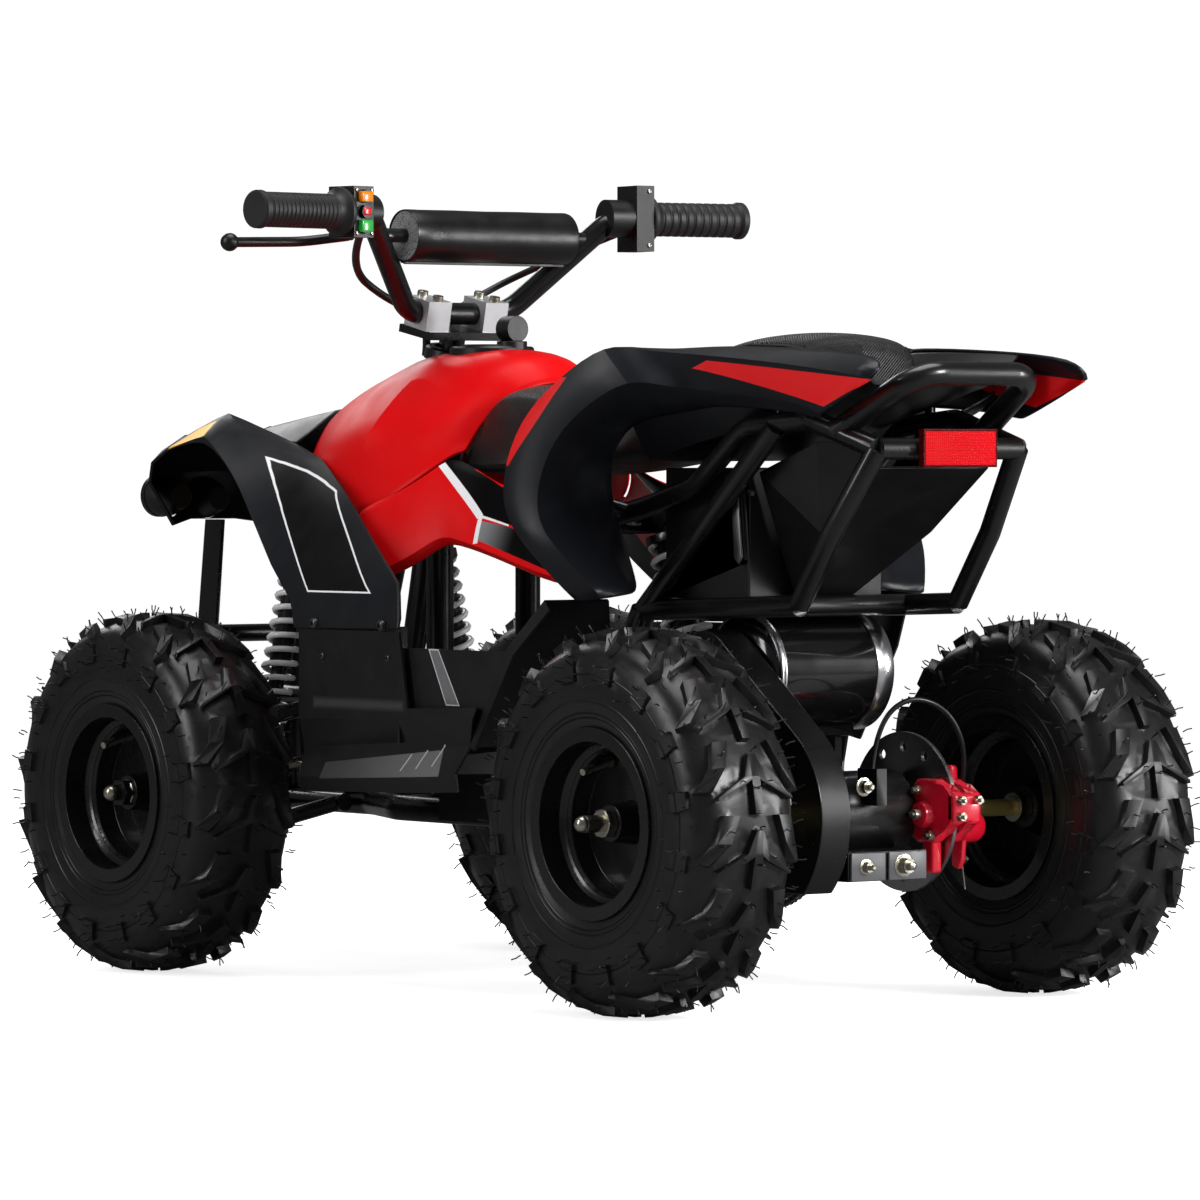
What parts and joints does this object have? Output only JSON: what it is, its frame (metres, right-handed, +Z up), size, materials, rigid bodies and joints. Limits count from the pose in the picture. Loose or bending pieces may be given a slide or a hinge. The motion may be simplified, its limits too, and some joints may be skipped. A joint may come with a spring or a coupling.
{
  "type": "electric quad bike",
  "caption": "Child's electric quad bike with a tube frame, knobbly balloon tyres, chain-driven live rear axle, plastic body panels and handlebar steering.",
  "frame": {"origin": "on the ground under the middle of the vehicle's length and width", "axes": "+X to the rider's left, +Y to the rear, +Z up"},
  "size_m": [0.657, 1.16, 0.7814],
  "materials": {
    "frame_paint": "satin black powder coat",
    "rim_paint": "satin black paint",
    "red_body": "gloss red with dark and white stripes",
    "navy_body": "satin blue-black, moulded",
    "foot_plastic": "satin black, finely grained",
    "seat_cover": "woven-look vinyl",
    "tyre_rubber": "matte black",
    "zinc": "zinc plated",
    "white_spring": "white coils on a black damper",
    "caliper_red": "gloss red",
    "pad_cover": "black vinyl over grey foam",
    "grip_rubber": "matte",
    "control_plastic": "black, with amber, red and green buttons",
    "reflector_red": "prismatic",
    "motor_paint": "black, with bright end rings",
    "chain_steel": "oiled",
    "disc_steel": "ground",
    "lamp": "clear lens over a bright bowl",
    "cable_jacket": "black",
    "box_plastic": "black"
  },
  "bodies": {
    "chassis": {"battery_box": "box_plastic", "brake_cable": "cable_jacket", "brake_caliper": "caliper_red", "chain_cover": "frame_paint", "drive_chain": "chain_steel", "footwell_left": "foot_plastic", "footwell_right": "foot_plastic", "frame_rails": "frame_paint", "front_bumper": "frame_paint", "front_fender_left": "navy_body", "front_fender_right": "navy_body", "front_shocks": "white_spring", "grab_bar": "frame_paint", "headlamps": "lamp", "hood": "navy_body", "key_switch": "control_plastic", "motor": "motor_paint", "mud_panel": "foot_plastic", "nose_mask": "navy_body", "rear_deck": "navy_body", "rear_fender_left": "navy_body", "rear_fender_right": "navy_body", "rear_shock": "white_spring", "rear_subframe": "frame_paint", "reflector": "reflector_red", "seat": "seat_cover", "side_panels": "red_body", "steering_head": "frame_paint", "suspension_arms_left": "frame_paint", "suspension_arms_right": "frame_paint", "swing_arm": "frame_paint", "tank_cover": "red_body"},
    "steering": {"handlebar": "frame_paint", "bar_pad": "pad_cover", "grip_left": "grip_rubber", "grip_right": "grip_rubber", "switch_box": "control_plastic", "throttle_housing": "control_plastic", "brake_lever": "control_plastic", "bar_cables": "cable_jacket", "steering_column": "frame_paint"},
    "knuckle_left": {"knuckle_left": "frame_paint"},
    "knuckle_right": {"knuckle_right": "frame_paint"},
    "tie_rod_left": {"tie_rod_left": "zinc"},
    "tie_rod_right": {"tie_rod_right": "zinc"},
    "front_wheel_left": {"front_rim_left": "rim_paint", "front_tyre_left": "tyre_rubber"},
    "front_wheel_right": {"front_rim_right": "rim_paint", "front_tyre_right": "tyre_rubber"},
    "rear_axle": {"rear_axle": "zinc", "axle_sprocket": "chain_steel", "brake_disc": "disc_steel", "rear_rim_left": "rim_paint", "rear_tyre_left": "tyre_rubber", "rear_rim_right": "rim_paint", "rear_tyre_right": "tyre_rubber"}
  },
  "joints": [
    {"name": "steering", "type": "hinge", "parent": "chassis", "child": "steering", "pos_m": [0, -0.23532, 0.63], "axis": [0, 0.2131, 0.977], "range_deg": [-32, 32]},
    {"name": "knuckle_left_turn", "type": "hinge", "parent": "chassis", "child": "knuckle_left", "pos_m": [0.19, -0.37532, 0.178], "axis": [0, 0, 1], "range_deg": [-24, 24]},
    {"name": "tie_rod_left_swing", "type": "hinge", "parent": "knuckle_left", "child": "tie_rod_left", "pos_m": [0.192, -0.31932, 0.202], "axis": [0, 0, 1], "range_deg": [-27, 27]},
    {"name": "front_wheel_left_spin", "type": "hinge", "parent": "knuckle_left", "child": "front_wheel_left", "pos_m": [0.265, -0.37532, 0.178], "axis": [1, 0, 0], "continuous": true},
    {"name": "knuckle_right_turn", "type": "hinge", "parent": "chassis", "child": "knuckle_right", "pos_m": [-0.19, -0.37532, 0.178], "axis": [0, 0, 1], "range_deg": [-24, 24]},
    {"name": "tie_rod_right_swing", "type": "hinge", "parent": "knuckle_right", "child": "tie_rod_right", "pos_m": [-0.192, -0.31932, 0.202], "axis": [0, 0, 1], "range_deg": [-27, 27]},
    {"name": "front_wheel_right_spin", "type": "hinge", "parent": "knuckle_right", "child": "front_wheel_right", "pos_m": [-0.265, -0.37532, 0.178], "axis": [1, 0, 0], "continuous": true},
    {"name": "rear_axle_spin", "type": "hinge", "parent": "chassis", "child": "rear_axle", "pos_m": [0, 0.37468, 0.178], "axis": [1, 0, 0], "continuous": true}
  ],
  "couplings": [
    {"joint": "knuckle_left_turn", "follows": "steering", "ratio": 0.75},
    {"joint": "tie_rod_left_swing", "follows": "steering", "ratio": -0.84},
    {"joint": "knuckle_right_turn", "follows": "steering", "ratio": 0.75},
    {"joint": "tie_rod_right_swing", "follows": "steering", "ratio": -0.84}
  ]
}
